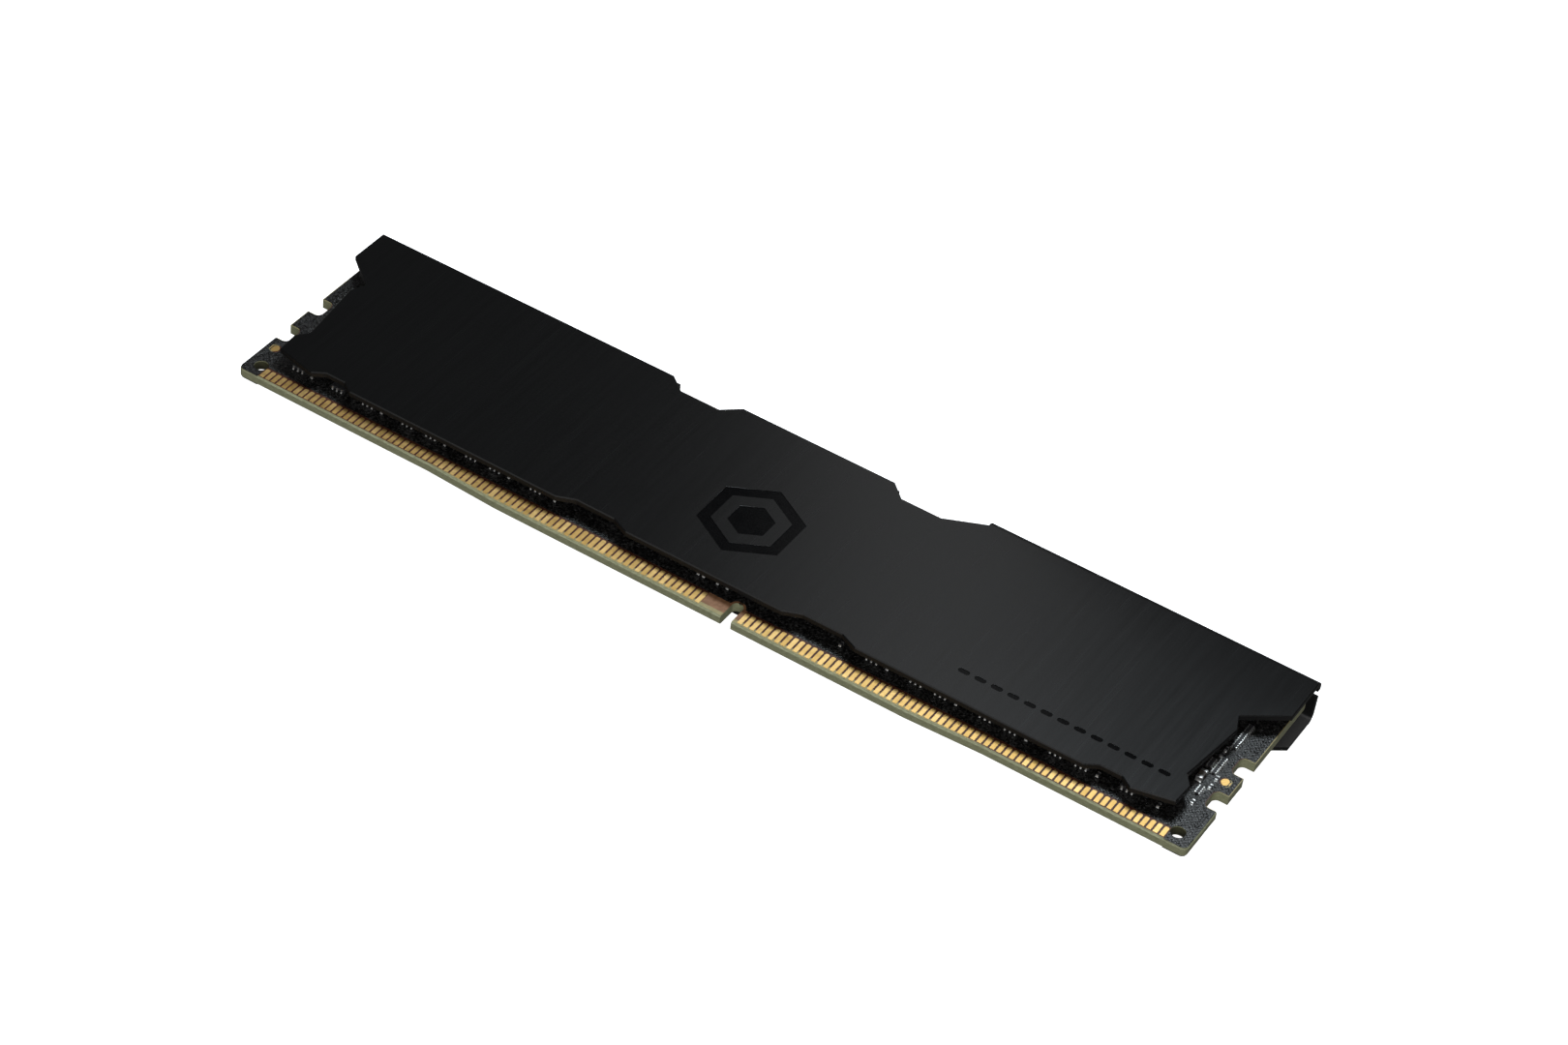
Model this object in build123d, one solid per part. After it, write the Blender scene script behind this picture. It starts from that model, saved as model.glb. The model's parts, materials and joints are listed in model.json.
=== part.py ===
from build123d import *
import os

# A 288-pin desktop memory module between two pressed aluminium heat spreaders, in millimetres.
# Board frame used by every function: X along the board, Y up from the lowest contact edge,
# Z out of the front face, with Z = 0 in the middle of the board.  export_node() moves each piece
# to the part frame, where the module lies on its rear spreader.

# Board
board_length = 133.35
board_height = 31.25
board_thickness = 1.40
board_corner_radius = 0.8
mask_thickness = 0.03
mask_pullback = 0.1
slot_pullback = 0.3
laminate_face = board_thickness / 2 - mask_thickness
board_face = board_thickness / 2
half_length = board_length / 2

# Contact edge: the middle reaches lower than the two ends
edge_step = 0.5
edge_break = 0.2
left_step_outer = -37.825
left_step_inner = -27.625
right_step_inner = 30.175
right_step_outer = 40.375

# Contacts
pad_pitch = 0.85
pad_width = 0.60
pad_top = 2.45
pad_edge_gap = 0.35
pad_thickness = 0.04
pad_tip_radius = 0.22
first_pad_x = 63.325
long_row_count = 77
short_row_count = 67
mask_opening_top = 2.70
mask_opening_margin = 0.45

# Key slot, latch notches and tooling holes
key_slot_x = 5.575
key_slot_width = 1.5
key_slot_height = 3.3
notch_height = 3.0
notch_depth = 1.75
notch_radius = 0.75
notch_centres_y = (9.5, 16.1)
hole_diameter = 1.85
hole_x = 64.6
hole_y = 2.5

# Fiducial marks
fiducial_diameter = 1.15
fiducial_opening = 1.55
left_fiducial = (-65.35, 6.2)
right_fiducial = (65.3, 12.8)

# Memory chips and their solder balls
chip_width = 7.5
chip_height = 11.0
chip_thickness = 0.85
chip_y = 14.6
chip_centres_x = (-57.45, -46.8, -37.25, -27.7, 25.9, 35.23, 44.56, 53.9)
ball_pitch = 0.8
ball_diameter = 0.45
ball_height = 0.25
ball_rows = 13
ball_columns = (-3.2, -2.4, -1.6, 1.6, 2.4, 3.2)

# Small parts
data_array_size = (2.0, 0.8, 0.45)
data_array_ends = (3, 0.67)
termination_array_size = (1.45, 0.38, 0.35)
termination_array_ends = (4, 0.38)
array_terminal_width = 0.22
array_terminal_depth = 0.17
array_offsets = (-3.0, 3.0)
array_y = 5.0
single_offset = -0.87
single_y = 4.75
single_size = (0.36, 0.7, 0.28)
capacitor_size = (0.45, 0.9, 0.45)
terminal_share = 0.25
capacitor_row_y = 23.6
capacitor_offsets = (-2.4, 0.0, 2.4)
centre_singles_x = (-21.85, -1.2, -0.45, 1.55, 2.9, 18.6, 60.9)
termination_x = 63.5
termination_centres_y = (22.0, 20.4, 18.85, 15.3, 13.7, 9.7)
inner_termination = (62.55, 14.5)
side_singles = ((62.9, 17.5), (62.9, 16.4), (64.25, 12.6), (64.25, 11.0), (63.75, 7.6))
side_capacitor = (62.6, 11.9)
side_capacitor_size = (0.8, 1.6, 0.6)
eeprom_size = (3.0, 2.0, 0.75)
eeprom_position = (-8.0, 8.6)

# Heat spreaders
spreader_face = 3.3
plate_thickness = 0.7
plate_inner_face = spreader_face - plate_thickness
spreader_left = -66.95
spreader_right = 67.4
spreader_middle = (spreader_left + spreader_right) / 2
edge_chamfer = 0.12
spreader_top = 32.4
bend_radius = 1.2
bend_line = spreader_top - bend_radius
front_left_top = 30.5
front_middle_top = 30.65
notch_floor = 28.5
front_lip_tip = 1.7
rear_flange_tip = -0.6
left_section = (spreader_left, -22.2)
middle_section = (-12.0, 9.9)
right_section = (22.9, spreader_right)
front_lower_edge = 2.8
rear_lower_edge = 4.05
recess_depth = 1.05
front_tab_low = (24.6, 20.8)
rear_tab_low = (25.7, 21.9)
recess_middle = 0.25
inner_recess_reach = 16.0
inner_recess_half = (5.05, 2.7)
outer_recess_reach = 54.55
outer_recess_half = (2.95, 1.38)
rear_slot_recess_half = (5.4, 4.2)

# Thermal pads
front_pad_size = (118.0, 20.0)
front_pad_y = 17.6
rear_pad_size = (120.0, 20.0)
rear_pad_y = 17.6

# Emblem and dash row, both set into the front spreader
inlay_pocket = 0.25
inlay_thickness = 0.19
emblem_centre = (0.0, 13.8)
emblem_ring_radius = 6.6
emblem_ring_inner = 4.9
emblem_core_radius = 2.9
dash_size = (1.5, 0.7)
dash_pitch = 2.2
dash_count = 13
dash_row_start = (33.4, 7.3)


def export_node(name, shape):
    """Write one piece, or a group of like pieces, in the part frame."""
    placed = Pos(-spreader_middle, -spreader_top / 2, spreader_face) * shape
    export_step(placed, os.path.join("parts", name + ".step"))


def group(solids):
    """Keep separate like solids together as one node."""
    return Compound(children=[piece for item in solids for piece in item.solids()])


def slab(sketch, bottom, thickness):
    """Extrude a board-plane sketch from a height."""
    return extrude(Plane.XY.offset(bottom) * sketch, amount=thickness, dir=(0, 0, 1))


def block(x, y, bottom, size_x, size_y, size_z):
    """A plain box that stands on a height."""
    return Pos(x, y, bottom + size_z / 2) * Box(size_x, size_y, size_z)


def edge_height(x):
    """Height of the stepped contact edge at one place along the board."""
    if x < left_step_outer or x > right_step_outer:
        return edge_step
    if x < left_step_inner:
        return edge_step * (left_step_inner - x) / (left_step_inner - left_step_outer)
    if x > right_step_inner:
        return edge_step * (x - right_step_inner) / (right_step_outer - right_step_inner)
    return 0.0


def tooling_holes():
    """The two locating holes beside the ends of the contact rows."""
    return [Pos(side * hole_x, hole_y) * Circle(hole_diameter / 2) for side in (-1, 1)]


def board_outline():
    """Board outline with the key slot and latch notches."""
    outline = Polygon(
        (-half_length, edge_step),
        (left_step_outer, edge_step),
        (left_step_inner, 0),
        (right_step_inner, 0),
        (right_step_outer, edge_step),
        (half_length, edge_step),
        (half_length, board_height),
        (-half_length, board_height),
        align=None,
    )
    corners = outline.vertices().filter_by(lambda v: abs(v.X) > half_length - 0.1)
    outline = fillet(corners, board_corner_radius)
    slot_radius = key_slot_width / 2
    straight = key_slot_height - slot_radius
    outline -= Pos(key_slot_x, straight / 2 - 0.5) * Rectangle(key_slot_width, straight + 1.0)
    outline -= Pos(key_slot_x, straight) * Circle(slot_radius)
    for side in (-1, 1):
        for notch_y in notch_centres_y:
            notch = RectangleRounded(notch_depth * 2, notch_height, notch_radius)
            outline -= Pos(side * half_length, notch_y) * notch
    return outline


def board_sketch():
    """Board outline with its tooling holes."""
    return board_outline() - tooling_holes()


def pcb_laminate():
    """Glass-fibre board without its solder mask, with a broken contact edge."""
    board = slab(board_sketch(), -laminate_face, 2 * laminate_face)
    lower = board.edges().filter_by(lambda e: e.center().Y < edge_step + 0.05)
    lower = lower.filter_by(lambda e: abs(abs(e.center().Z) - laminate_face) < 0.01)
    lower = lower.filter_by(lambda e: abs(e.center().X) < half_length - board_corner_radius)
    lower = lower.filter_by(lambda e: e.length > 3.0)
    return chamfer(lower, edge_break)


def mask_sketch(with_fiducials):
    """Solder mask area: inside the board edge, up to the holes and clear of the contacts."""
    area = offset(board_outline(), -mask_pullback, kind=Kind.INTERSECTION) - tooling_holes()
    row_start = -first_pad_x - mask_opening_margin
    slot_left = key_slot_x - key_slot_width / 2
    slot_right = key_slot_x + key_slot_width / 2
    slot_clearance = key_slot_width + 2 * slot_pullback
    row_end = first_pad_x + mask_opening_margin
    for start, end in ((row_start, slot_left), (slot_right, row_end)):
        width = end - start
        window = Rectangle(width, mask_opening_top * 2)
        area -= Pos((start + end) / 2, 0) * window
    slot_centre_y = key_slot_height - key_slot_width / 2
    area -= Pos(key_slot_x, slot_centre_y) * Circle(slot_clearance / 2)
    area -= Pos(key_slot_x, slot_centre_y / 2) * Rectangle(slot_clearance, slot_centre_y)
    if with_fiducials:
        for x, y in (left_fiducial, right_fiducial):
            area -= Pos(x, y) * Circle(fiducial_opening / 2)
    return area


def contact_pad(x, underside):
    """One gold contact with rounded upper corners."""
    low = edge_height(x) + pad_edge_gap
    height = pad_top - low
    pad = Pos(x, low + height / 2) * Rectangle(pad_width, height)
    tips = pad.vertices().group_by(Axis.Y)[-1]
    return slab(fillet(tips, pad_tip_radius), underside, pad_thickness)


def contact_row(start_x, count, underside):
    """A run of evenly spaced contacts on one face of the board."""
    return group([contact_pad(start_x + pad_pitch * i, underside) for i in range(count)])


def fiducials():
    """Two round gold alignment marks."""
    marks = []
    for x, y in (left_fiducial, right_fiducial):
        marks.append(slab(Pos(x, y) * Circle(fiducial_diameter / 2), laminate_face, pad_thickness))
    return group(marks)


def dram_chip(x):
    """One moulded memory package on its solder balls."""
    body = block(x, chip_y, board_face + ball_height, chip_width, chip_height, chip_thickness)
    return chamfer(body.edges().filter_by(Axis.Z), 0.15)


def dram_solder_balls():
    """Solder balls under every memory chip, two banks of three columns each."""
    balls = []
    first_row = chip_y - ball_pitch * (ball_rows - 1) / 2
    for chip_x in chip_centres_x:
        for column in ball_columns:
            for row in range(ball_rows):
                ball = Cylinder(ball_diameter / 2, ball_height)
                height = board_face + ball_height / 2
                balls.append(Pos(chip_x + column, first_row + ball_pitch * row, height) * ball)
    return group(balls)


def array_places():
    """Two data resistor arrays below each memory chip."""
    return [(x + shift, array_y) for x in chip_centres_x for shift in array_offsets]


def termination_places():
    """Bus termination arrays: a column beside the right short edge, and one further in."""
    return [(termination_x, y) for y in termination_centres_y] + [inner_termination]


def array_body(x, y, size, upright):
    """Body of a resistor array, lying along X or along Y."""
    length, depth, thickness = size
    spans = (depth, length) if upright else (length, depth)
    return block(x, y, board_face, *spans, thickness)


def array_terminals(x, y, size, ends, upright):
    """The tinned ends on both long sides of a resistor array."""
    count, pitch = ends
    terminals = []
    reach = (size[1] + array_terminal_depth) / 2
    span = pitch * (count - 1)
    for side in (-reach, reach):
        for i in range(count):
            along = pitch * i - span / 2
            place = (x + side, y + along) if upright else (x + along, y + side)
            foot = (array_terminal_depth, array_terminal_width)
            foot = foot if upright else foot[::-1]
            terminals.append(block(*place, board_face, *foot, size[2]))
    return terminals


def single_places():
    """Single series resistors: one below each memory chip, the odd ones between and at the end."""
    near_chips = [(x + single_offset, single_y) for x in chip_centres_x]
    return near_chips + [(x, single_y) for x in centre_singles_x] + list(side_singles)


def capacitors():
    """Place and size of each bypass capacitor: a row above the chips, and a large one at the end."""
    above = [(x + shift, capacitor_row_y) for x in chip_centres_x for shift in capacitor_offsets]
    return [(place, capacitor_size) for place in above] + [(side_capacitor, side_capacitor_size)]


def chip_component_body(x, y, size):
    """Ceramic body of a small two-terminal part that stands along Y."""
    width, length, thickness = size
    return block(x, y, board_face, width, length * (1 - 2 * terminal_share), thickness)


def chip_component_ends(x, y, size):
    """The two tinned ends of a small two-terminal part."""
    width, length, thickness = size
    terminal_length = length * terminal_share
    reach = (length - terminal_length) / 2
    return [block(x, y + side, board_face, width, terminal_length, thickness)
            for side in (-reach, reach)]


def spd_eeprom():
    """Small identification memory between the two chip groups."""
    body = block(*eeprom_position, board_face, *eeprom_size)
    return chamfer(body.edges().filter_by(Axis.Z), 0.1)


def recess_points(recess, edge):
    """Lower-edge recess from its right end to its left end."""
    centre, (wide, narrow) = recess
    top = edge + recess_depth
    return [(centre + wide, edge), (centre + narrow, top),
            (centre - narrow, top), (centre - wide, edge)]


def side_points(corner_x, tab_low):
    """Right side of a spreader, from its widest corner down to the lower edge."""
    outer_y, inner_y = tab_low
    return [(corner_x, outer_y), (62.4, inner_y), (63.3, 18.6),
            (62.0, 8.8), (63.2, 7.25), (63.0, 4.1)]


def shared_recesses():
    """Lower-edge recesses that both spreaders have, from right to left."""
    return [(recess_middle + outer_recess_reach, outer_recess_half),
            (recess_middle + inner_recess_reach, inner_recess_half),
            (recess_middle - inner_recess_reach, inner_recess_half),
            (recess_middle - outer_recess_reach, outer_recess_half)]


def spreader_points(tops, tab_low, edge, recesses):
    """Plate outline from the top left corner round; the top has three sections."""
    left_top, middle_top, right_top = tops
    right_side = side_points(spreader_right, tab_low)
    left_side = [(-x, y) for x, y in reversed(side_points(-spreader_left, tab_low))]
    lower = [point for recess in recesses for point in recess_points(recess, edge)]
    top = [(left_section[0], left_top), (left_section[1], left_top),
           (-19.75, notch_floor), (-14.4, notch_floor),
           (middle_section[0], middle_top), (middle_section[1], middle_top),
           (12.2, notch_floor), (17.4, notch_floor),
           (right_section[0], right_top), (right_section[1], right_top)]
    return top + right_side + lower + left_side


def plate(points):
    """Flat sheet with broken outer edges, except along its bend lines."""
    sheet = slab(Polygon(*points, align=None), plate_inner_face, plate_thickness)
    outer = sheet.faces().sort_by(Axis.Z)[-1].edges()
    outer = outer.filter_by(lambda e: abs(e.center().Y - bend_line) > 0.01)
    return chamfer(outer, edge_chamfer)


def flange(span, tip):
    """Folded edge of the sheet, from its bend line to its tip."""
    inner_radius = bend_radius - plate_thickness
    centre = (bend_line, spreader_face - bend_radius)
    inner_y = spreader_top - plate_thickness
    profile = Curve() + [
        CenterArc(centre, bend_radius, 0, 90),
        Line((bend_line, spreader_face), (bend_line, plate_inner_face)),
        CenterArc(centre, inner_radius, 0, 90),
        Line((inner_y, centre[1]), (inner_y, tip)),
        Line((inner_y, tip), (spreader_top, tip)),
        Line((spreader_top, tip), (spreader_top, centre[1])),
    ]
    section = Plane.YZ.offset(span[0]) * make_face(profile)
    return extrude(section, amount=span[1] - span[0])


def emblem_sketch():
    """Plain hexagon inside a hexagonal ring."""
    ring = RegularPolygon(emblem_ring_radius, 6, rotation=90)
    ring -= RegularPolygon(emblem_ring_inner, 6, rotation=90)
    core = RegularPolygon(emblem_core_radius, 6, rotation=90)
    return Pos(*emblem_centre) * (ring + core)


def dash_sketch():
    """Row of plain rounded dashes."""
    x, y = dash_row_start
    row = [Pos(x + dash_pitch * i, y) * SlotOverall(*dash_size) for i in range(dash_count)]
    return Sketch() + row


def front_spreader():
    """Front plate: a folded lip on the right section only, and pockets for the inlays."""
    tops = (front_left_top, front_middle_top, bend_line)
    points = spreader_points(tops, front_tab_low, front_lower_edge, shared_recesses())
    body = plate(points) + flange(right_section, front_lip_tip)
    pockets = emblem_sketch() + dash_sketch()
    return body - slab(pockets, spreader_face - inlay_pocket, inlay_pocket + 1.0)


def rear_spreader():
    """Rear plate: three folded flanges cover the board's top edge.  Built face up, then turned over."""
    recesses = sorted(shared_recesses() + [(key_slot_x, rear_slot_recess_half)], reverse=True)
    points = spreader_points((bend_line,) * 3, rear_tab_low, rear_lower_edge, recesses)
    body = plate([(-x, y) for x, y in points])
    for start, end in (left_section, middle_section, right_section):
        body += flange((-end, -start), rear_flange_tip)
    return Rot(0, 180, 0) * body


def front_thermal_pad():
    """Soft pad between the memory chips and the front spreader."""
    bottom = board_face + ball_height + chip_thickness
    return block(0, front_pad_y, bottom, *front_pad_size, plate_inner_face - bottom)


def rear_thermal_pad():
    """Thicker soft pad between the bare rear of the board and the rear spreader."""
    return block(0, rear_pad_y, -plate_inner_face, *rear_pad_size, plate_inner_face - board_face)


def inlay(sketch):
    """Gloss inlay that sits just below the spreader's face."""
    return slab(sketch, spreader_face - inlay_pocket, inlay_thickness)


def export_board():
    front_mask = slab(mask_sketch(True), laminate_face, mask_thickness)
    back_mask = slab(mask_sketch(False), -board_face, mask_thickness)
    short_row_start = first_pad_x - pad_pitch * (short_row_count - 1)
    export_node("pcb_laminate", pcb_laminate())
    export_node("front_solder_mask", front_mask)
    export_node("back_solder_mask", back_mask)
    for face, underside in (("front", laminate_face), ("back", -laminate_face - pad_thickness)):
        long_row = contact_row(-first_pad_x, long_row_count, underside)
        short_row = contact_row(short_row_start, short_row_count, underside)
        export_node(f"{face}_contacts_long_row", long_row)
        export_node(f"{face}_contacts_short_row", short_row)
    export_node("fiducial_marks", fiducials())


def export_small_parts():
    data = [(*place, data_array_size) for place in array_places()]
    termination = [(*place, termination_array_size) for place in termination_places()]
    singles = [(*place, single_size) for place in single_places()]
    bypass = [(*place, size) for place, size in capacitors()]
    export_node("data_resistor_arrays", group([array_body(*p, False) for p in data]))
    export_node("data_resistor_terminals",
                group([t for p in data for t in array_terminals(*p, data_array_ends, False)]))
    export_node("termination_arrays", group([array_body(*p, True) for p in termination]))
    export_node("termination_terminals",
                group([t for p in termination
                       for t in array_terminals(*p, termination_array_ends, True)]))
    export_node("series_resistors", group([chip_component_body(*p) for p in singles]))
    export_node("series_resistor_terminals",
                group([t for p in singles for t in chip_component_ends(*p)]))
    export_node("bypass_capacitors", group([chip_component_body(*p) for p in bypass]))
    export_node("bypass_capacitor_terminals",
                group([t for p in bypass for t in chip_component_ends(*p)]))
    export_node("spd_eeprom", spd_eeprom())


def export_cooling():
    export_node("front_thermal_pad", front_thermal_pad())
    export_node("rear_thermal_pad", rear_thermal_pad())
    export_node("front_heat_spreader", front_spreader())
    export_node("rear_heat_spreader", rear_spreader())
    export_node("emblem_inlay", group([inlay(emblem_sketch())]))
    export_node("dash_inlays", group([inlay(dash_sketch())]))


os.makedirs("parts", exist_ok=True)
export_board()
for number, chip_x in enumerate(chip_centres_x, start=1):
    export_node(f"dram_chip_{number}", dram_chip(chip_x))
export_node("dram_solder_balls", dram_solder_balls())
export_small_parts()
export_cooling()
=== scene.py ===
import json
import math
import random

import bmesh
import bpy
import numpy as np
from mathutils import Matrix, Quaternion, Vector, noise


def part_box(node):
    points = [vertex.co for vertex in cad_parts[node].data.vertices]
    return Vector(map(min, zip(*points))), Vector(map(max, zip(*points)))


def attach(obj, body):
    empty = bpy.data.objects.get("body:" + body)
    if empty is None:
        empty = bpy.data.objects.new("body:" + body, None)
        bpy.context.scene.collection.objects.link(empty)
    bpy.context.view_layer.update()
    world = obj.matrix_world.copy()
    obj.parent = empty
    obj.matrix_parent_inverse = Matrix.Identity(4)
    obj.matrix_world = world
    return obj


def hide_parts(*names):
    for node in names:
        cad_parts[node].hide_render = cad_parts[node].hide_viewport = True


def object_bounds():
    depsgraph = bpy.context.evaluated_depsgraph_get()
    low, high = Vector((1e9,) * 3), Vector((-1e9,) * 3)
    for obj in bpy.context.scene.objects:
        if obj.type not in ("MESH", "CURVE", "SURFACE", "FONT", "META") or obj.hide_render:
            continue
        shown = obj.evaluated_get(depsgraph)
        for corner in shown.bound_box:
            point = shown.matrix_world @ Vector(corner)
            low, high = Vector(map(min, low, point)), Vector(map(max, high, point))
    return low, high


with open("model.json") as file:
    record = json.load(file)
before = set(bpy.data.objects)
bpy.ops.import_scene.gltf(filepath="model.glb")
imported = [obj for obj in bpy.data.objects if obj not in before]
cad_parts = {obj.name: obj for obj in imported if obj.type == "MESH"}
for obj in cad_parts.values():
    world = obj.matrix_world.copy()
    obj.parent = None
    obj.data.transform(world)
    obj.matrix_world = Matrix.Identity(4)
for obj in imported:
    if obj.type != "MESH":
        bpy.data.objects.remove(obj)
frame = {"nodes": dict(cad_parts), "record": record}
cad_low, cad_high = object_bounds()

MM = 0.001

# Camera, in millimetres in the part frame
CAMERA_EYE = (165.060, -310.718, 316.834)
CAMERA_AIM = (3.013, -0.231, 6.6)
CAMERA_ROLL = 7.365
CAMERA_LENS = 90.18
CAMERA_SENSOR = 36.0

# Board facts that the boxes of the CAD nodes don't give, in millimetres
NOTCH_UP = (9.5, 16.1)
NOTCH_HALF = 1.5
NOTCH_DEPTH = 1.75
PAD_PITCH = 0.85
HALF_PAD = 0.3
BARE_REACH = 65.0

# Waves of the laminate, in radians for each millimetre
WEAVE_TURNS = 12.0
LAYER_TURNS = 30.0

# Tracks and vias that stand above the solder mask, in millimetres
RELIEF_HEIGHT = 0.022
EDGE_TRACK_INSETS = (0.62, 0.95)
EDGE_TRACK_WIDTH = 0.16
FAN_OUT_WIDTH = 0.13
VIA_OUTER = 0.25
VIA_INNER = 0.11
RELIEF_SEED = 7

# Meshing, in millimetres
WELD = 1e-4
SLIVER = 0.0005
FLOOR_GAP = 0.02
FLOOR_HALF = 6000.0


def box_mm(node):
    """Lowest and highest corner of a CAD node in millimetres."""
    low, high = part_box(node)
    return Vector(low) / MM, Vector(high) / MM


LAMINATE_LOW, LAMINATE_HIGH = box_mm("pcb_laminate")
EDGE_Y = LAMINATE_LOW.y
BOARD_TOP_Z = box_mm("front_solder_mask")[1].z
BOARD_UNDER_Z = box_mm("back_solder_mask")[0].z
BOARD_X = (LAMINATE_LOW.x + LAMINATE_HIGH.x) / 2
HALF_BOARD = (LAMINATE_HIGH.x - LAMINATE_LOW.x) / 2


# ---------------------------------------------------------------- node helpers
def add(tree, kind, inputs=None, **props):
    """One shader node; an input is a number, a colour or another node's output."""
    made = tree.nodes.new(kind)
    for key, value in props.items():
        setattr(made, key, value)
    for key, value in (inputs or {}).items():
        if isinstance(value, bpy.types.NodeSocket):
            tree.links.new(value, made.inputs[key])
        else:
            made.inputs[key].default_value = value
    return made


def new_material(name, **constants):
    """A material with one Principled node, whose constant sockets are set here."""
    material = bpy.data.materials.new(name)
    material.use_nodes = True
    tree = material.node_tree
    tree.nodes.clear()
    output = tree.nodes.new("ShaderNodeOutputMaterial")
    shader = tree.nodes.new("ShaderNodeBsdfPrincipled")
    tree.links.new(shader.outputs["BSDF"], output.inputs["Surface"])
    for key, value in constants.items():
        shader.inputs[key.replace("_", " ")].default_value = value
    return material, tree, shader


def millimetres(tree, stretch=(1, 1, 1)):
    """Place on the object in millimetres, stretched along each axis."""
    place = add(tree, "ShaderNodeTexCoord")
    factors = tuple(s / MM for s in stretch)
    scaled = add(tree, "ShaderNodeVectorMath",
                 {0: place.outputs["Object"], 1: factors}, operation="MULTIPLY")
    return scaled.outputs[0]


def noise_of(tree, vector, scale, detail=2.0, roughness=0.5):
    made = add(tree, "ShaderNodeTexNoise",
               {"Vector": vector, "Scale": scale, "Detail": detail, "Roughness": roughness})
    return made.outputs["Fac"]


def ramp(tree, value, stops, interpolation="LINEAR"):
    """Colour ramp with (place, colour) stops."""
    made = add(tree, "ShaderNodeValToRGB", {"Fac": value})
    made.color_ramp.interpolation = interpolation
    elements = made.color_ramp.elements
    while len(elements) < len(stops):
        elements.new(0.5)
    for element, (place, colour) in zip(elements, stops):
        element.position = place
        element.color = (*colour, 1.0)
    return made.outputs["Color"]


def map_range(tree, value, low, high, to_low, to_high, smooth=False):
    made = add(tree, "ShaderNodeMapRange",
               {"Value": value, "From Min": low, "From Max": high,
                "To Min": to_low, "To Max": to_high})
    made.interpolation_type = "SMOOTHSTEP" if smooth else "LINEAR"
    return made.outputs["Result"]


def mix_colour(tree, factor, first, second, blend="MIX"):
    made = add(tree, "ShaderNodeMix", data_type="RGBA", blend_type=blend)
    for index, value in ((0, factor), (6, first), (7, second)):
        if isinstance(value, bpy.types.NodeSocket):
            tree.links.new(value, made.inputs[index])
        else:
            made.inputs[index].default_value = value if index == 0 else (*value, 1.0)
    return made.outputs[2]


def maths(tree, operation, first, second=0.0):
    return add(tree, "ShaderNodeMath", {0: first, 1: second}, operation=operation).outputs[0]


def bump(tree, shader, height, depth_mm, strength=1.0):
    """Fine relief under a shader, with its depth in millimetres."""
    made = add(tree, "ShaderNodeBump",
               {"Height": height, "Strength": strength, "Distance": depth_mm * MM})
    tree.links.new(made.outputs["Normal"], shader.inputs["Normal"])


def split(tree, vector):
    made = add(tree, "ShaderNodeSeparateXYZ", {0: vector})
    return made.outputs


# ------------------------------------------------------------------- materials
def anodised_material():
    """Black anodised aluminium, brushed along the board's short direction.

    The rear spreader's inner face, which shows past the board's end, gets a paler base as a bare
    face, with a painted highlight that brightens it towards and past the board's end.
    """
    material, tree, shader = new_material("anodised_aluminium", Metallic=0.0, Anisotropic=0.35)
    shader.inputs["Specular IOR Level"].default_value = 0.30
    broad = noise_of(tree, millimetres(tree, (1, 0.035, 1)), 1.3, 3.0, 0.6)
    fine = noise_of(tree, millimetres(tree, (1, 0.03, 1)), 3.4, 3.0, 0.7)
    patches = noise_of(tree, millimetres(tree), 0.06, 2.0)
    lines = maths(tree, "ADD", maths(tree, "MULTIPLY", broad, 0.45),
                  maths(tree, "MULTIPLY", fine, 0.55))
    tone = maths(tree, "ADD", maths(tree, "MULTIPLY", lines, 0.8),
                 maths(tree, "MULTIPLY", patches, 0.2))
    colour = ramp(tree, tone, [(0.3, (0.0030, 0.0030, 0.0030)),
                               (0.7, (0.0046, 0.0046, 0.0047))])
    geometry = add(tree, "ShaderNodeNewGeometry")
    facing = split(tree, geometry.outputs["Normal"])[2]
    x, _, z = split(tree, millimetres(tree))
    inside = maths(tree, "MULTIPLY", map_range(tree, facing, 0.5, 0.8, 0.0, 1.0),
                   map_range(tree, z, BOARD_UNDER_Z - 0.2, BOARD_UNDER_Z, 1.0, 0.0))
    # Painted highlight: the inner face gets a paler base as bare metal, brightening further towards
    # and past the board's end.
    painted_highlight_past_end = map_range(tree, x, LAMINATE_HIGH.x - 3.0, LAMINATE_HIGH.x + 1.0, 0.0, 1.0)
    bare_face_and_painted_highlight = ramp(tree, painted_highlight_past_end, [(0.0, (0.040, 0.040, 0.040)), (1.0, (0.115, 0.115, 0.115))])
    tree.links.new(mix_colour(tree, inside, colour, bare_face_and_painted_highlight), shader.inputs["Base Color"])
    upright = maths(tree, "ABSOLUTE", facing)
    cut_edge = map_range(tree, upright, 0.35, 0.6, 0.26, 0.0)
    rough = map_range(tree, lines, 0.36, 0.64, 0.245, 0.275)
    tree.links.new(maths(tree, "ADD", rough, cut_edge), shader.inputs["Roughness"])
    tangent = add(tree, "ShaderNodeTangent", direction_type="RADIAL", axis="X")
    tree.links.new(tangent.outputs["Tangent"], shader.inputs["Tangent"])
    bump(tree, shader, lines, 0.0012)
    return material


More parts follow.
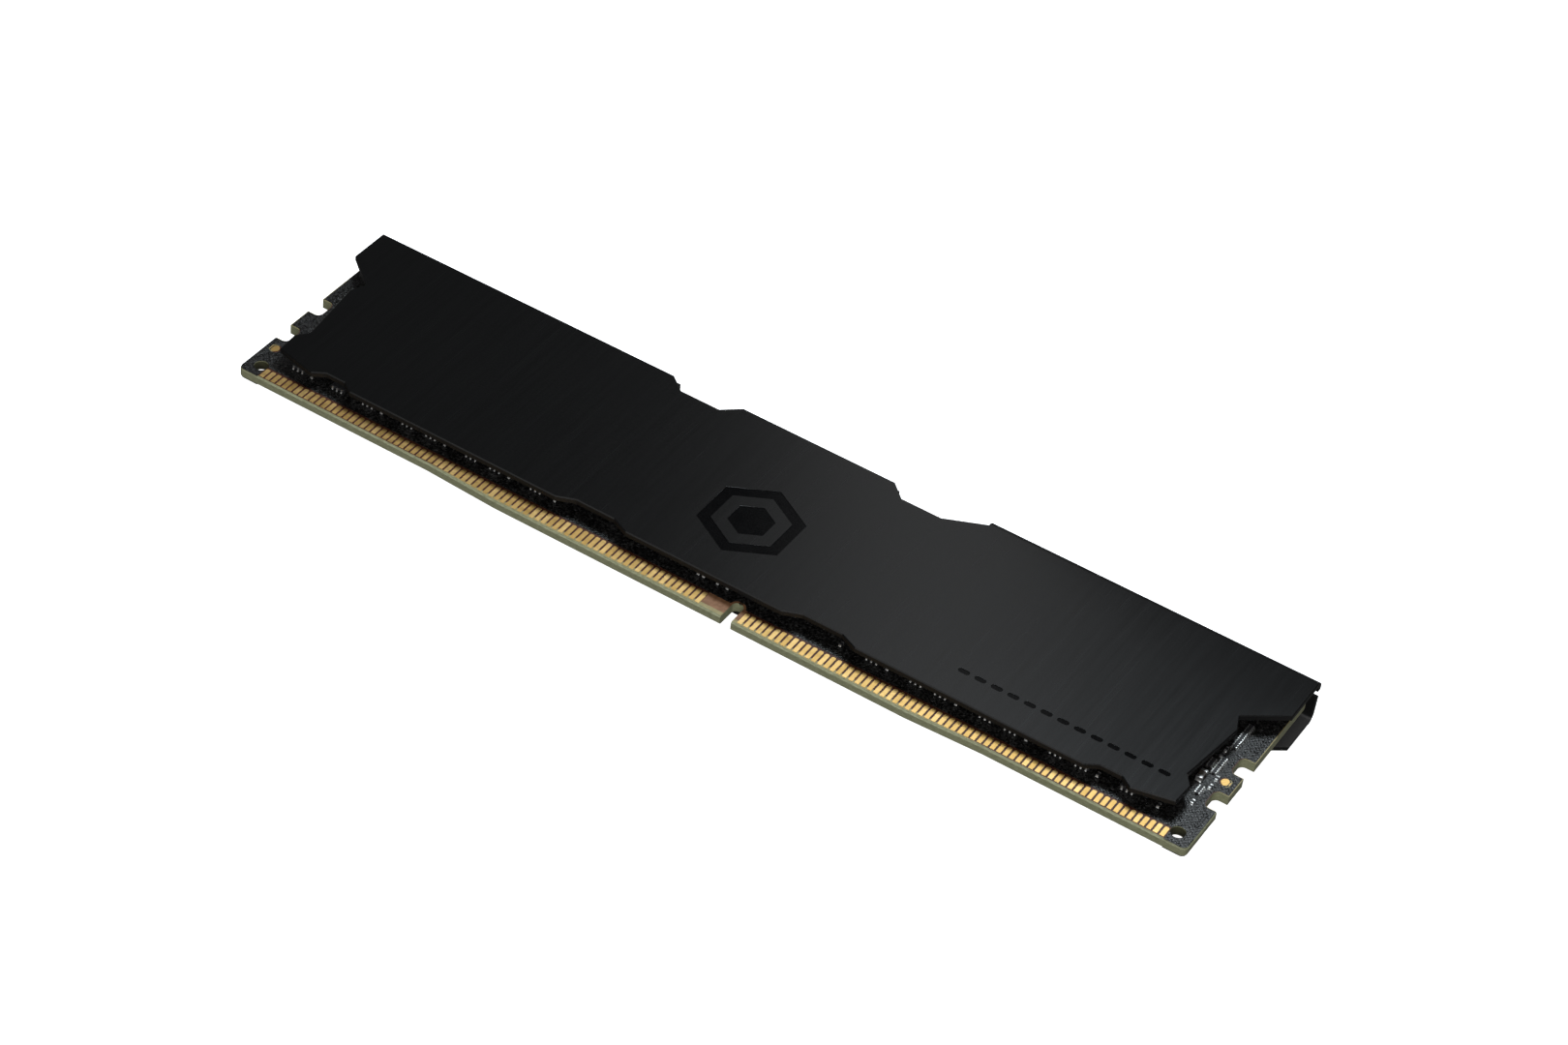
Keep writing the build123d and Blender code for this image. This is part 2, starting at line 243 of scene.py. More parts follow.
def mask_material():
    """Black solder mask with a coarse grain, over the glass weave."""
    material, tree, shader = new_material("solder_mask", Metallic=0.0)
    shader.inputs["Specular IOR Level"].default_value = 0.52
    mm = millimetres(tree)
    speckle = noise_of(tree, mm, 3.4, 3.0, 0.75)
    cloud = noise_of(tree, mm, 0.35, 2.0)
    warp, weft = (maths(tree, "SINE", maths(tree, "MULTIPLY", along, WEAVE_TURNS))
                  for along in split(tree, mm)[:2])
    weave = maths(tree, "MULTIPLY", warp, weft)
    tone = maths(tree, "ADD", maths(tree, "MULTIPLY", speckle, 0.9),
                 maths(tree, "MULTIPLY", cloud, 0.1))
    colour = ramp(tree, tone, [(0.42, (0.0020, 0.0020, 0.0019)), (0.50, (0.0055, 0.0054, 0.0052)),
                               (0.58, (0.0180, 0.0176, 0.0170)), (0.66, (0.060, 0.059, 0.057))])
    tree.links.new(colour, shader.inputs["Base Color"])
    tree.links.new(map_range(tree, speckle, 0.40, 0.60, 0.24, 0.38), shader.inputs["Roughness"])
    height = maths(tree, "ADD", maths(tree, "MULTIPLY", weave, 0.12), speckle)
    bump(tree, shader, height, 0.10)
    return material


def painted_hole_shade(tree, colour, place, mount):
    """Painted shade: darken the wall of one drilled hole deep inside, where shade falls, except
    close to its two rims.
    """
    away = [maths(tree, "SUBTRACT", place[i], mount["pos_m"][i] / MM) for i in range(3)]
    squares = [maths(tree, "MULTIPLY", value, value) for value in away[:2]]
    radius = maths(tree, "SQRT", maths(tree, "ADD", *squares))
    reach = mount["dims"]["r_mm"]
    near = map_range(tree, radius, reach + 0.04, reach + 0.12, 1.0, 0.0, True)
    deep = map_range(tree, maths(tree, "ABSOLUTE", away[2]), 0.48, 0.62, 1.0, 0.0, True)
    # Painted shade: the deep part of the hole wall is multiplied towards dark olive.
    painted_shade = mix_colour(tree, 1.0, colour, (0.16, 0.15, 0.10), "MULTIPLY")
    return mix_colour(tree, maths(tree, "MULTIPLY", near, deep), colour, painted_shade)


def laminate_material():
    """Glass-fibre laminate: khaki cut edges with layers, reddish bare face between contacts, with
    painted shade on that face between the pads and on the deep walls of the drilled holes.
    """
    material, tree, shader = new_material("laminate", Metallic=0.0)
    mm = millimetres(tree)
    x, y, z = split(tree, mm)
    geometry = add(tree, "ShaderNodeNewGeometry")
    _, _, normal_z = split(tree, geometry.outputs["True Normal"])
    flat = map_range(tree, maths(tree, "ABSOLUTE", normal_z), 0.8, 0.95, 0.0, 1.0)
    mottle = noise_of(tree, mm, 1.8, 3.0, 0.6)
    fibre = noise_of(tree, millimetres(tree, (1.0, 1.0, 6.0)), 2.2, 3.0, 0.6)
    layers = maths(tree, "SINE", maths(tree, "MULTIPLY", z, LAYER_TURNS))
    side = ramp(tree, fibre, [(0.30, (0.200, 0.210, 0.115)), (0.5, (0.285, 0.292, 0.170)),
                              (0.72, (0.375, 0.378, 0.240))])
    shade = map_range(tree, layers, -1.0, 1.0, 0.86, 1.06)
    grey = add(tree, "ShaderNodeCombineColor", {0: shade, 1: shade, 2: shade}).outputs[0]
    side = mix_colour(tree, 1.0, side, grey, "MULTIPLY")
    khaki = ramp(tree, mottle, [(0.3, (0.250, 0.205, 0.090)), (0.7, (0.340, 0.290, 0.140))])
    red = ramp(tree, mottle, [(0.3, (0.165, 0.074, 0.031)), (0.7, (0.255, 0.126, 0.062))])
    above = map_range(tree, y, EDGE_Y + 0.62, EDGE_Y + 0.86, 0.0, 1.0, True)
    reach = maths(tree, "ABSOLUTE", maths(tree, "SUBTRACT", x, BOARD_X))
    within = map_range(tree, reach, BARE_REACH, BARE_REACH + 0.4, 1.0, 0.0, True)
    inside = maths(tree, "MULTIPLY", above, within)
    face = mix_colour(tree, inside, khaki, red)
    long_end = box_mm("front_contacts_long_row")[1].x
    short_start = box_mm("front_contacts_short_row")[0].x
    # Painted shade: the bare face between the contact pads is darkened, as where the pads shade it.
    rows = maths(tree, "ADD", map_range(tree, x, long_end - 0.1, long_end + 0.1, 1.0, 0.0),
                 map_range(tree, x, short_start - 0.1, short_start + 0.1, 0.0, 1.0))
    between = maths(tree, "MULTIPLY", rows, inside)
    painted_pad_gap_shade = mix_colour(tree, 1.0, face, (0.26, 0.125, 0.075), "MULTIPLY")
    colour = mix_colour(tree, flat, side, mix_colour(tree, between, face, painted_pad_gap_shade))
    # Painted shade inside each drilled hole.
    for mount in frame["record"]["mounts"]:
        if mount["kind"] == "bore":
            colour = painted_hole_shade(tree, colour, (x, y, z), mount)
    tree.links.new(colour, shader.inputs["Base Color"])
    tree.links.new(map_range(tree, mottle, 0.3, 0.7, 0.45, 0.62), shader.inputs["Roughness"])
    bump(tree, shader, maths(tree, "ADD", fibre, mottle), 0.02)
    return material


def gold_material():
    """Hard gold plating, each contact a little different, with fine wipe marks."""
    material, tree, shader = new_material("contact_gold", Metallic=1.0)
    geometry = add(tree, "ShaderNodeNewGeometry")
    each = geometry.outputs["Random Per Island"]
    stain = noise_of(tree, millimetres(tree), 1.4, 3.0, 0.6)
    wipe = noise_of(tree, millimetres(tree, (1, 0.08, 1)), 16.0, 2.0)
    tone = maths(tree, "ADD", maths(tree, "MULTIPLY", each, 0.35),
                 maths(tree, "ADD", maths(tree, "MULTIPLY", stain, 0.45),
                       maths(tree, "MULTIPLY", wipe, 0.2)))
    colour = ramp(tree, tone, [(0.25, (0.58, 0.36, 0.11)), (0.5, (0.72, 0.47, 0.17)),
                               (0.8, (0.90, 0.63, 0.27))])
    tree.links.new(colour, shader.inputs["Base Color"])
    tree.links.new(map_range(tree, stain, 0.3, 0.7, 0.46, 0.56), shader.inputs["Roughness"])
    bump(tree, shader, maths(tree, "ADD", wipe, stain), 0.003)
    return material


def speckled_material(name, dark, light, rough, scale, depth, metallic=0.0, specular=0.5):
    """A grained surface between two tones, for moulded, ceramic, tinned and soft parts."""
    material, tree, shader = new_material(name, Metallic=metallic)
    shader.inputs["Specular IOR Level"].default_value = specular
    mm = millimetres(tree)
    grain = noise_of(tree, mm, scale, 4.0, 0.65)
    broad = noise_of(tree, mm, scale * 0.12, 2.0)
    tone = maths(tree, "ADD", maths(tree, "MULTIPLY", grain, 0.65),
                 maths(tree, "MULTIPLY", broad, 0.35))
    tree.links.new(ramp(tree, tone, [(0.32, dark), (0.68, light)]), shader.inputs["Base Color"])
    tree.links.new(map_range(tree, grain, 0.3, 0.7, rough[0], rough[1]), shader.inputs["Roughness"])
    bump(tree, shader, grain, depth)
    return material


def gloss_material():
    """Gloss black inlay with faint dust and smears."""
    material, tree, shader = new_material("emblem_gloss", Metallic=0.0)
    shader.inputs["Specular IOR Level"].default_value = 0.07
    mm = millimetres(tree)
    smear = noise_of(tree, mm, 0.5, 3.0, 0.6)
    dust = noise_of(tree, mm, 9.0, 2.0, 0.5)
    colour = ramp(tree, dust, [(0.55, (0.0018, 0.0018, 0.002)), (0.8, (0.012, 0.012, 0.012))])
    tree.links.new(colour, shader.inputs["Base Color"])
    tree.links.new(map_range(tree, smear, 0.3, 0.7, 0.12, 0.20), shader.inputs["Roughness"])
    bump(tree, shader, smear, 0.01)
    return material


def floor_material():
    """Pale table lit from below, as under a product shot, with a very faint paper grain."""
    material, tree, shader = new_material("pale_floor", Metallic=0.0)
    shader.inputs["Specular IOR Level"].default_value = 0.0
    grain = noise_of(tree, millimetres(tree), 0.3, 3.0)
    tree.links.new(ramp(tree, grain, [(0.3, (0.80, 0.80, 0.80)), (0.7, (0.86, 0.86, 0.86))]),
                   shader.inputs["Base Color"])
    shader.inputs["Roughness"].default_value = 1.0
    shader.inputs["Emission Color"].default_value = (1.0, 1.0, 1.0, 1.0)
    shader.inputs["Emission Strength"].default_value = 1.0
    return material


MATERIALS = {
    "laminate": laminate_material(),
    "solder_mask": mask_material(),
    "contact_gold": gold_material(),
    "anodised_aluminium": anodised_material(),
    "emblem_gloss": gloss_material(),
    "chip_mould": speckled_material(
        "chip_mould", (0.010, 0.010, 0.011), (0.024, 0.024, 0.025), (0.5, 0.72), 14.0, 0.012),
    "solder": speckled_material(
        "solder", (0.62, 0.62, 0.61), (0.92, 0.92, 0.90), (0.30, 0.50), 7.0, 0.01, 1.0),
    "resistor_body": speckled_material(
        "resistor_body", (0.012, 0.012, 0.013), (0.030, 0.030, 0.032), (0.3, 0.5), 8.0, 0.008),
    "capacitor_body": speckled_material(
        "capacitor_body", (0.030, 0.024, 0.019), (0.062, 0.050, 0.040), (0.4, 0.55), 8.0, 0.008),
    "thermal_pad": speckled_material(
        "thermal_pad", (0.060, 0.064, 0.070), (0.100, 0.104, 0.110), (0.75, 0.95), 5.0, 0.03),
}


# ------------------------------------------------------------- geometry helpers
def new_piece(name, mesh, slot, *replaced):
    """Put a finished mesh on the body, with its material and the CAD nodes it stands for."""
    piece = bpy.data.objects.new(name, mesh)
    bpy.context.scene.collection.objects.link(piece)
    mesh.materials.clear()
    mesh.materials.append(MATERIALS[slot])
    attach(piece, "root")
    if replaced:
        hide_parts(*replaced)
    return piece


def smooth_by_angle(bm, degrees):
    """Smooth faces, sharp where they meet at more than this angle."""
    limit = math.radians(degrees)
    for face in bm.faces:
        face.smooth = True
    for edge in bm.edges:
        edge.smooth = len(edge.link_faces) == 2 and edge.calc_face_angle(0.0) < limit


def drop_slivers(bm, width):
    """Merge corners that fall together and dissolve the faces left without area."""
    bmesh.ops.remove_doubles(bm, verts=bm.verts, dist=width)
    bmesh.ops.dissolve_degenerate(bm, dist=width, edges=bm.edges)


def finished(bm, name):
    """Mesh made from a bmesh, which is freed."""
    mesh = bpy.data.meshes.new(name)
    bm.to_mesh(mesh)
    bm.free()
    return mesh


def skin(bm, loops):
    """Faces between each closed loop of corners and the next."""
    for a, b in zip(loops, loops[1:]):
        for k in range(len(a)):
            n = (k + 1) % len(a)
            bm.faces.new((a[k], a[n], b[n], b[k]))


def refine(node, name, slot, width_mm, segments=2, bevel_from=50.0, smooth_to=12.0):
    """Copy a CAD node, clean its triangles and round its sharp edges."""
    bm = bmesh.new()
    bm.from_mesh(frame["nodes"][node].data)
    bmesh.ops.remove_doubles(bm, verts=bm.verts, dist=WELD * MM)
    bmesh.ops.dissolve_limit(bm, angle_limit=math.radians(0.5), verts=bm.verts, edges=bm.edges)
    sharp = [e for e in bm.edges
             if len(e.link_faces) == 2 and e.calc_face_angle(0.0) > math.radians(bevel_from)]
    bmesh.ops.bevel(bm, geom=sharp, offset=width_mm * MM, segments=segments, profile=0.5,
                    affect="EDGES", clamp_overlap=True)
    drop_slivers(bm, SLIVER * MM)
    bmesh.ops.recalc_face_normals(bm, faces=bm.faces)
    smooth_by_angle(bm, smooth_to)
    return new_piece(name, finished(bm, name), slot, node)


def solids_of(node):
    """Lowest and highest corner, in millimetres, of each separate solid of a CAD node."""
    bm = bmesh.new()
    bm.from_mesh(frame["nodes"][node].data)
    bmesh.ops.remove_doubles(bm, verts=bm.verts, dist=WELD * MM)
    seen, boxes = set(), []
    for start in bm.verts:
        if start in seen:
            continue
        seen.add(start)
        waiting, found = [start], []
        while waiting:
            vert = waiting.pop()
            found.append(vert.co)
            for edge in vert.link_edges:
                other = edge.other_vert(vert)
                if other not in seen:
                    seen.add(other)
                    waiting.append(other)
        places = np.array(found) / MM
        boxes.append((Vector(places.min(0)), Vector(places.max(0))))
    bm.free()
    return sorted(boxes, key=lambda pair: tuple(round(c, 4) for c in pair[0]))


def template(bm):
    """Vertices and faces of a bmesh, in millimetres."""
    drop_slivers(bm, SLIVER)
    bm.verts.index_update()
    points = np.array([v.co for v in bm.verts])
    faces = [[v.index for v in f.verts] for f in bm.faces]
    bm.free()
    return points, faces


def stamp(name, shapes, slot, replaced=(), smooth_to=35.0):
    """Join templates, each turned about Z and moved to its place, as one piece."""
    points, faces, count = [], [], 0
    for (shape_points, shape_faces), place, turn in shapes:
        c, s = math.cos(turn), math.sin(turn)
        turned = shape_points @ np.array([[c, s, 0], [-s, c, 0], [0, 0, 1]])
        points.append(turned + np.array(place))
        faces += [[i + count for i in face] for face in shape_faces]
        count += len(shape_points)
    mesh = bpy.data.meshes.new(name)
    mesh.from_pydata((np.concatenate(points) * MM).tolist(), [], faces)
    bm = bmesh.new()
    bm.from_mesh(mesh)
    smooth_by_angle(bm, smooth_to)
    bm.to_mesh(mesh)
    bm.free()
    return new_piece(name, mesh, slot, *replaced)


def swept_profile(profile, width, bevel_mm):
    """Closed profile in the XZ plane, swept across Y and rounded."""
    bm = bmesh.new()
    near = [bm.verts.new((x, -width / 2, z)) for x, z in profile]
    far = [bm.verts.new((x, width / 2, z)) for x, z in profile]
    bm.faces.new(near)
    bm.faces.new(far[::-1])
    for i in range(len(profile)):
        j = (i + 1) % len(profile)
        bm.faces.new((near[j], near[i], far[i], far[j]))
    bmesh.ops.recalc_face_normals(bm, faces=bm.faces)
    sharp = [e for e in bm.edges if e.calc_face_angle(0.0) > math.radians(50)]
    bmesh.ops.bevel(bm, geom=sharp, offset=bevel_mm, segments=2, profile=0.5,
                    affect="EDGES", clamp_overlap=True)
    return template(bm)


def terminal_shape(reach, width, height, fillet):
    """Tinned end of a small part with its concave solder fillet, which runs out along +X."""
    curve = []
    for i in range(6):
        t = i / 5
        curve.append((reach / 2 + fillet * t, 0.03 + (height * 0.62 - 0.03) * (1 - t) ** 2.2))
    profile = [(-reach / 2, 0.0), (-reach / 2, height), (reach / 2, height)] + curve
    profile += [(reach / 2 + fillet * 1.25, 0.03), (reach / 2 + fillet * 1.25, 0.0)]
    return swept_profile(profile, width, 0.022)


def nearest(place, boxes):
    """Middle of the box that is nearest to a place."""
    middles = [(low + high) / 2 for low, high in boxes]
    return min(middles, key=lambda m: (m.xy - place.xy).length)


def terminals(name, node, body_node, axis, fillet):
    """Every tinned end of one kind of part, its fillet pointing away from the part's body."""
    bodies = solids_of(body_node)
    shapes, made = [], {}
    for low, high in solids_of(node):
        middle, size = (low + high) / 2, high - low
        away = middle[axis] - nearest(middle, bodies)[axis]
        reach, width = (size.x, size.y) if axis == 0 else (size.y, size.x)
        key = (round(reach, 3), round(width, 3), round(size.z, 3))
        if key not in made:
            made[key] = terminal_shape(reach, width, size.z, fillet)
        turn = (0 if away > 0 else math.pi) + (math.pi / 2 if axis == 1 else 0)
        shapes.append((made[key], (middle.x, middle.y, low.z), turn))
    return stamp(name, shapes, "solder", (node,))


def ball_shape(radius, height):
    """Reflowed solder ball, squashed between its two lands."""
    rings, around = 6, 10
    bm = bmesh.new()
    loops = []
    for i in range(rings + 1):
        t = i / rings
        bulge = 0.72 + 0.28 * math.sin(math.pi * t)
        loops.append([bm.verts.new((radius * bulge * math.cos(2 * math.pi * k / around),
                                    radius * bulge * math.sin(2 * math.pi * k / around),
                                    height * t)) for k in range(around)])
    bm.faces.new(loops[0][::-1])
    bm.faces.new(loops[-1])
    skin(bm, loops)
    return template(bm)


def ring_shape(outer, inner, height, around=18):
    """Low raised ring with sloping flanks."""
    bm = bmesh.new()
    radii = ((outer, 0.0), (outer * 0.9, height), (inner * 1.15, height), (inner, 0.0))
    loops = [[bm.verts.new((r * math.cos(2 * math.pi * k / around),
                            r * math.sin(2 * math.pi * k / around), z)) for k in range(around)]
             for r, z in radii]
    skin(bm, loops + loops[:1])
    bmesh.ops.recalc_face_normals(bm, faces=bm.faces)
    return template(bm)


def strip_shape(path, width, height):
    """Low raised track along a path of (x, y) points, with sloping flanks and mitred corners."""
    points = [Vector(p) for p in path]
    bm = bmesh.new()
    sections = []
    for i, point in enumerate(points):
        before = (point - points[i - 1]).normalized() if i else None
        after = (points[i + 1] - point).normalized() if i + 1 < len(points) else None
        along = ((before or after) + (after or before)).normalized()
        side = Vector((-along.y, along.x))
        square = Vector((-(after or before).y, (after or before).x))
        stretch = 1 / max(0.5, side.dot(square))
        section = []
        for reach, z in ((-0.5, 0.0), (-0.32, height), (0.32, height), (0.5, 0.0)):
            spot = point + side * (reach * width * stretch)
            section.append(bm.verts.new((spot.x, spot.y, z)))
        sections.append(section)
    skin(bm, sections)
    bm.faces.new(sections[0])
    bm.faces.new(sections[-1][::-1])
    bmesh.ops.recalc_face_normals(bm, faces=bm.faces)
    return template(bm)


def flipped(shape):
    """The same shape hanging under a face instead of standing on it."""
    points, faces = shape
    return points * np.array([1, 1, -1]), [face[::-1] for face in faces]


# ----------------------------------------------------------------------- pieces
def build_spreaders():
    refine("front_heat_spreader", "front_spreader_shell", "anodised_aluminium", 0.07)
    refine("rear_heat_spreader", "rear_spreader_shell", "anodised_aluminium", 0.07)


def build_contacts():
    for side in ("front", "back"):
        for row in ("long", "short"):
            refine(f"{side}_contacts_{row}_row", f"{side}_gold_{row}_row", "contact_gold",
                   0.014, segments=1)


def build_packages():
    for number in range(1, 9):
        refine(f"dram_chip_{number}", f"memory_package_{number}", "chip_mould", 0.05)
    refine("spd_eeprom", "small_memory_package", "chip_mould", 0.05)
    boxes = solids_of("dram_solder_balls")
    size = boxes[0][1] - boxes[0][0]
    ball = ball_shape(size.x / 2, size.z)
    balls = [(ball, (*((low + high) / 2).xy, low.z), 0.0) for low, high in boxes]
    stamp("memory_solder_balls", balls, "solder", ("dram_solder_balls",), 50.0)


def build_small_parts():
    refine("data_resistor_arrays", "array_bodies_lower", "resistor_body", 0.05)
    refine("termination_arrays", "array_bodies_right", "resistor_body", 0.05)
    refine("series_resistors", "resistor_bodies", "resistor_body", 0.04)
    refine("bypass_capacitors", "capacitor_bodies", "capacitor_body", 0.05)
    terminals("array_ends_lower", "data_resistor_terminals", "data_resistor_arrays", 1, 0.10)
    terminals("array_ends_right", "termination_terminals", "termination_arrays", 0, 0.07)
    terminals("resistor_ends", "series_resistor_terminals", "series_resistors", 1, 0.07)
    terminals("capacitor_ends", "bypass_capacitor_terminals", "bypass_capacitors", 1, 0.12)


def wavy_outline(low, high):
    """Points round a box, drawn in by a slow wave and more at the corners."""
    corner, step = 1.2, 0.8
    outline = []
    width, depth = high.x - low.x, high.y - low.y
    for start, along, length in ((Vector((low.x, low.y)), Vector((1, 0)), width),
                                 (Vector((high.x, low.y)), Vector((0, 1)), depth),
                                 (Vector((high.x, high.y)), Vector((-1, 0)), width),
                                 (Vector((low.x, high.y)), Vector((0, -1)), depth)):
        count = int(length / step)
        inward = Vector((-along.y, along.x))
        for i in range(count):
            t = length * i / count
            spot = Vector((start.x + along.x * t, start.y + along.y * t, low.z))
            wave = 0.16 + 0.13 * noise.noise(spot * 0.35)
            from_corner = min(t, length - t)
            wave += max(0.0, corner - from_corner) ** 2 * 0.28
            outline.append(start + along * t + inward * wave)
    return outline


def soft_pad(node, name):
    """Squeezed silicone pad: wavy outline and bulging sides inside its CAD box."""
    low, high = box_mm(node)
    outline = wavy_outline(low, high)
    centre = Vector(((low.x + high.x) / 2, (low.y + high.y) / 2))
    bm = bmesh.new()
    loops = []
    for part, inset in ((0.0, 0.18), (0.25, 0.04), (0.5, 0.0), (0.75, 0.04), (1.0, 0.18)):
        z = low.z + (high.z - low.z) * part
        loop = []
        for point in outline:
            inward = (centre - point).normalized() * inset
            spot = Vector((point.x + inward.x, point.y + inward.y, z))
            loop.append(bm.verts.new(spot * MM))
        loops.append(loop)
    bm.faces.new(loops[0][::-1])
    bm.faces.new(loops[-1])
    skin(bm, loops)
    bmesh.ops.recalc_face_normals(bm, faces=bm.faces)
    smooth_by_angle(bm, 60)
    new_piece(name, finished(bm, name), "thermal_pad", node)


def end_contour(side, inset):
    """Path of a track that follows the board's short edge and its two latch notches."""
    edge = BOARD_X + (HALF_BOARD - inset) * side
    deep = edge - NOTCH_DEPTH * side
    half = NOTCH_HALF + inset
    cut = 0.5
    path = [(edge, EDGE_Y + 4.3)]
    for up in NOTCH_UP:
        y = EDGE_Y + up
        path += [(edge, y - half - cut), (edge - side * cut, y - half),
                 (deep + side * cut, y - half), (deep, y - half + cut),
                 (deep, y + half - cut), (deep + side * cut, y + half),
                 (edge - side * cut, y + half), (edge, y + half + cut)]
    path.append((edge, EDGE_Y + 29.0))
    return path


def fan_out_paths(rng):
    """Paths of short tracks that leave the contacts and run up under the spreaders."""
    paths = []
    for node in ("front_contacts_long_row", "front_contacts_short_row"):
        low, high = box_mm(node)
        count = round((high.x - low.x - 2 * HALF_PAD) / PAD_PITCH) + 1
        for i in range(count):
            if rng.random() < 0.3:
                continue
            x = low.x + HALF_PAD + PAD_PITCH * i
            lean = rng.choice((-0.35, 0.0, 0.35))
            start = EDGE_Y + 2.86
            first = start + rng.uniform(0.1, 0.5)
            path = [(x, start), (x, first)]
            if lean:
                path.append((x + lean, first + abs(lean)))
            path.append((x + lean, EDGE_Y + rng.uniform(4.4, 6.4)))
            paths.append(path)
    return paths


def clear_of(place, others, gap):
    """Whether a place is more than a gap away from every other one."""
    return all((Vector(place) - Vector(o)).length > gap for o in others)


def middles_of(*nodes):
    """Middle of each separate solid of some CAD nodes, seen from the front."""
    return [((low + high) / 2).xy for node in nodes for low, high in solids_of(node)]


def via_places(rng):
    """Scattered vias in the open parts of the board, clear of parts, holes and marks."""
    marks = middles_of("fiducial_marks")
    parts = middles_of("data_resistor_arrays", "termination_arrays", "series_resistors",
                       "bypass_capacitors")
    places = []
    for side in (-1, 1):
        for _ in range(260):
            spot = (BOARD_X + side * rng.uniform(62.2, 66.0), EDGE_Y + rng.uniform(4.4, 26.0))
            if any(abs(spot[1] - EDGE_Y - up) < NOTCH_HALF + 0.5 and abs(spot[0] - BOARD_X) > 64.2
                   for up in NOTCH_UP):
                continue
            if (clear_of(spot, places, 0.75) and clear_of(spot, marks, 1.4)
                    and clear_of(spot, parts, 1.35)):
                places.append(spot)
    for _ in range(420):
        spot = (BOARD_X + rng.uniform(-61.5, 61.5), EDGE_Y + rng.uniform(3.15, 6.6))
        if clear_of(spot, places, 0.9) and clear_of(spot, parts, 1.3):
            places.append(spot)
    return places


def build_board_relief():
    """Tracks and mask-covered vias that stand a little above both faces."""
    rng = random.Random(RELIEF_SEED)
    tracks = [strip_shape(end_contour(side, inset), EDGE_TRACK_WIDTH, RELIEF_HEIGHT)
              for side in (-1, 1) for inset in EDGE_TRACK_INSETS]
    tracks += [strip_shape(path, FAN_OUT_WIDTH, RELIEF_HEIGHT) for path in fan_out_paths(rng)]
    vias = via_places(rng)
    ring = ring_shape(VIA_OUTER, VIA_INNER, RELIEF_HEIGHT)
    front, back = BOARD_TOP_Z, BOARD_UNDER_Z
    stamp("front_tracks", [(t, (0, 0, front), 0.0) for t in tracks], "solder_mask")
    stamp("back_tracks", [(flipped(t), (0, 0, back), 0.0) for t in tracks], "solder_mask")
    stamp("front_vias", [(ring, (*spot, front), 0.0) for spot in vias], "solder_mask")
    stamp("back_vias", [(flipped(ring), (*spot, back), 0.0) for spot in vias], "solder_mask")


def paint_cad_nodes():
    """Give each CAD node that stays in view its procedural material."""
    slots = {
        "pcb_laminate": "laminate",
        "front_solder_mask": "solder_mask",
        "back_solder_mask": "solder_mask",
        "fiducial_marks": "contact_gold",
        "emblem_inlay": "emblem_gloss",
        "dash_inlays": "emblem_gloss",
    }
    for node, slot in slots.items():
        mesh = frame["nodes"][node].data
        if not mesh.materials:
            mesh.materials.append(MATERIALS[slot])
        for i in range(len(mesh.materials)):
            mesh.materials[i] = MATERIALS[slot]


# ------------------------------------------------------------------------ stage
def build_floor():
    """Large pale floor just under the object."""
    bm = bmesh.new()
    bmesh.ops.create_grid(bm, x_segments=12, y_segments=12, size=FLOOR_HALF * MM)
    floor = bpy.data.objects.new("pale_floor", finished(bm, "pale_floor"))
    floor.location = (0, 0, cad_low.z - FLOOR_GAP * MM)
    floor.data.materials.append(floor_material())
    floor.visible_diffuse = False
    floor.visible_glossy = False
    floor.visible_shadow = False
    bpy.context.scene.collection.objects.link(floor)


def build_world():
    """Dim grey studio surround, a little paler near the horizon."""
    world = bpy.data.worlds.new("studio")
    bpy.context.scene.world = world
    world.use_nodes = True
    tree = world.node_tree
    tree.nodes.clear()
    place = add(tree, "ShaderNodeTexCoord")
    up = split(tree, place.outputs["Generated"])[2]
    colour = ramp(tree, up, [(0.0, (0.14, 0.14, 0.14)), (0.10, (0.10, 0.10, 0.10)),
                             (0.34, (0.07, 0.07, 0.07)), (0.60, (0.07, 0.07, 0.07))], "EASE")
    back = add(tree, "ShaderNodeBackground", {"Color": colour, "Strength": 1.0})
    output = add(tree, "ShaderNodeOutputWorld")
    tree.links.new(back.outputs[0], output.inputs["Surface"])


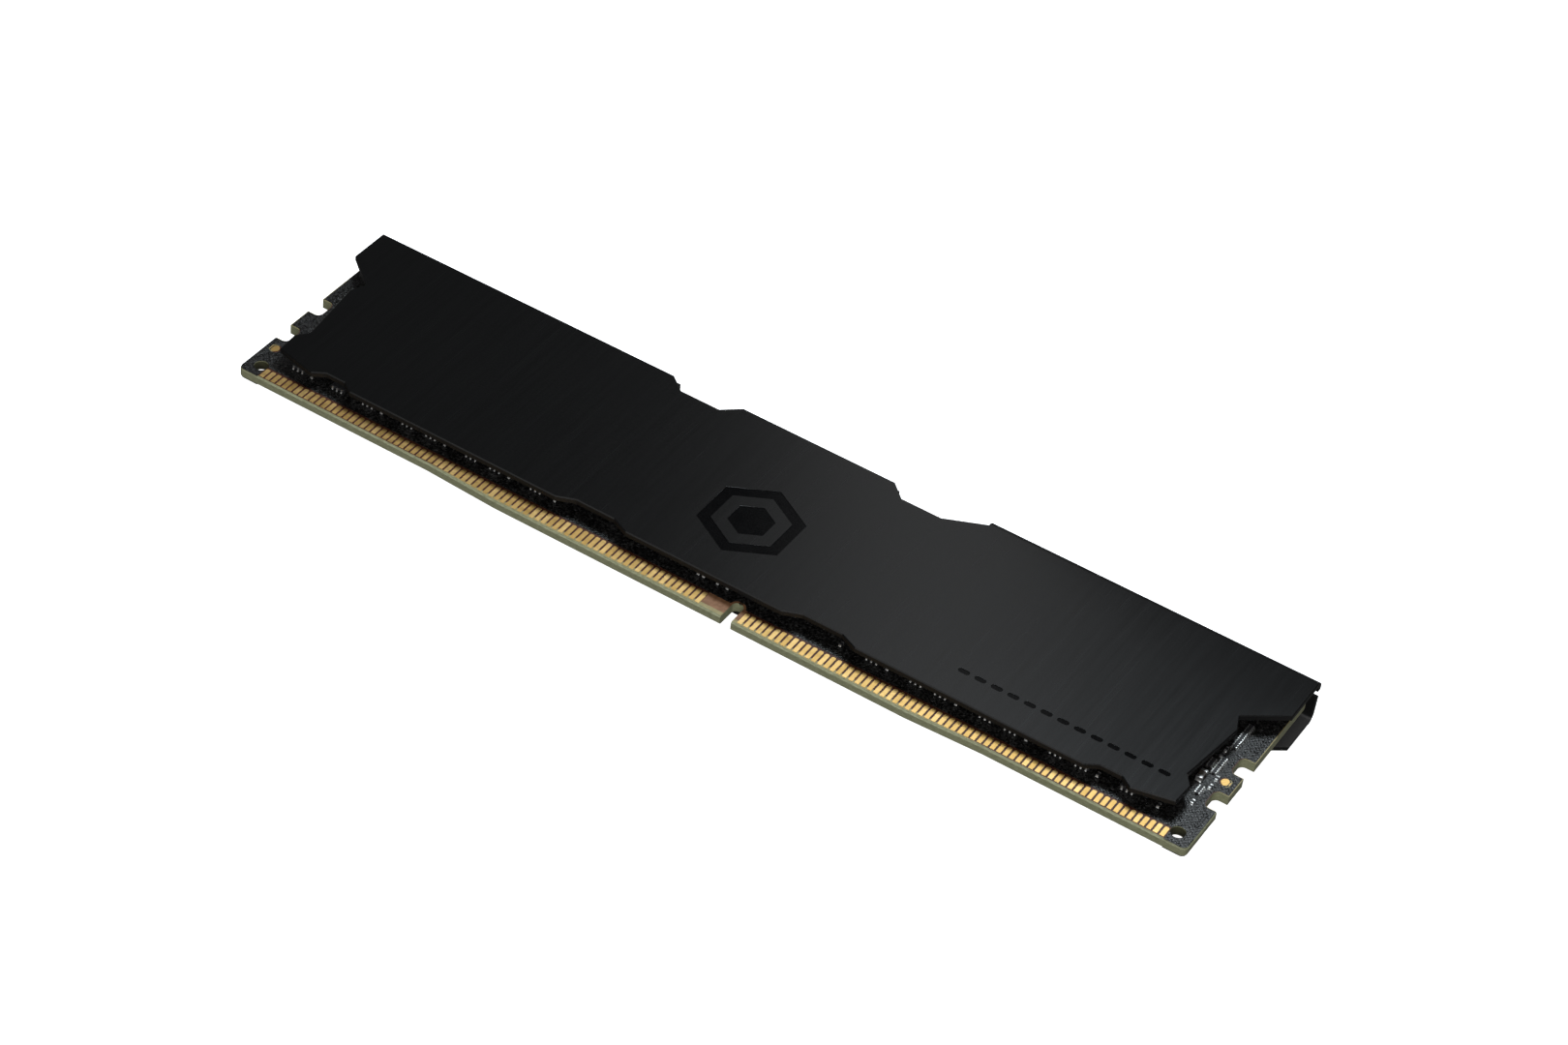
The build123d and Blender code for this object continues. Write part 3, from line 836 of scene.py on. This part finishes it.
def softbox(name, place, target, size, power, colour=(1, 1, 1)):
    """Rectangular studio light, in metres and watts."""
    light = bpy.data.lights.new(name, "AREA")
    light.shape = "RECTANGLE"
    light.size, light.size_y = size
    light.energy = power
    light.color = colour
    lamp = bpy.data.objects.new(name, light)
    lamp.location = place
    toward = Vector(target) - Vector(place)
    lamp.rotation_mode = "QUATERNION"
    lamp.rotation_quaternion = toward.to_track_quat("-Z", "Y")
    lamp.visible_camera = False
    bpy.context.scene.collection.objects.link(lamp)


def build_lights():
    """Broad light from the front, and narrow ones behind that glance off the top face."""
    softbox("front_fill", (-0.1, -1.2, 0.95), (0, 0, 0), (1.6, 0.8), 4.0)
    softbox("front_right", (0.5, -0.9, 0.5), (0.03, 0, 0), (0.5, 0.4), 4.6)
    softbox("key_strip", (-0.083, 0.235, 0.235), (0.024, 0, 0), (0.06, 0.26), 0.042)
    softbox("back_right", (0.015, 0.068, 0.26), (0.04, 0, 0), (0.07, 0.07), 0.60,
            (0.85, 0.94, 1.0))
    softbox("back_left", (-0.06, 0.08, 0.30), (0, 0, 0), (0.10, 0.07), 0.025)


def build_camera():
    """Camera at the photograph's viewing angle."""
    data = bpy.data.cameras.new("photo_camera")
    data.sensor_width = CAMERA_SENSOR
    data.lens = CAMERA_LENS
    data.clip_start, data.clip_end = 0.01, 50.0
    camera = bpy.data.objects.new("photo_camera", data)
    eye, aim = Vector(CAMERA_EYE) * MM, Vector(CAMERA_AIM) * MM
    camera.location = eye
    camera.rotation_mode = "QUATERNION"
    turn = (aim - eye).to_track_quat("-Z", "Y")
    camera.rotation_quaternion = turn @ Quaternion((0, 0, 1), math.radians(CAMERA_ROLL))
    bpy.context.scene.collection.objects.link(camera)
    bpy.context.scene.camera = camera


paint_cad_nodes()
build_spreaders()
build_contacts()
build_packages()
build_small_parts()
soft_pad("front_thermal_pad", "front_gap_pad")
soft_pad("rear_thermal_pad", "rear_gap_pad")
build_board_relief()
build_floor()
build_world()
build_lights()
build_camera()
bpy.context.scene.view_settings.view_transform = "Standard"
